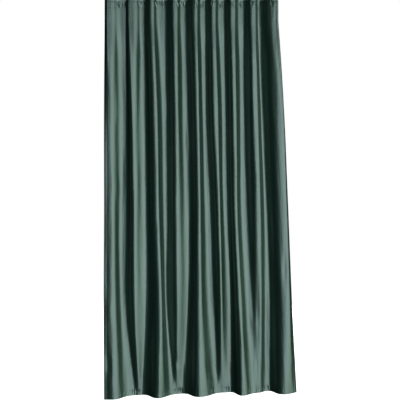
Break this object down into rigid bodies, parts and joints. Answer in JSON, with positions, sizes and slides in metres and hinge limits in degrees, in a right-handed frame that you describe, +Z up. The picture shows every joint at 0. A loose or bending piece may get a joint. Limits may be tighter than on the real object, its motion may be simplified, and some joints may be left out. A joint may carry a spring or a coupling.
{
  "type": "blackout curtain",
  "caption": "Full-length dark green velvet blackout curtain, hanging in soft uneven folds, with hidden tabs sewn behind its heading.",
  "frame": {"origin": "middle of the curtain's top edge, halfway through the depth of the folds", "axes": "+Z up along the drop, +X along the top edge to the viewer's right, and the velvet side faces -Y"},
  "size_m": [1.2074, 0.0846, 2.5],
  "materials": {
    "velvet": "dense short velvet pile with a blackout backing",
    "tab_cloth": "plain matte cloth"
  },
  "bodies": {
    "root": {"curtain_panel": "velvet", "tab_1": "tab_cloth", "tab_2": "tab_cloth", "tab_3": "tab_cloth", "tab_4": "tab_cloth", "tab_5": "tab_cloth", "tab_6": "tab_cloth", "tab_7": "tab_cloth", "tab_8": "tab_cloth"}
  },
  "joints": []
}
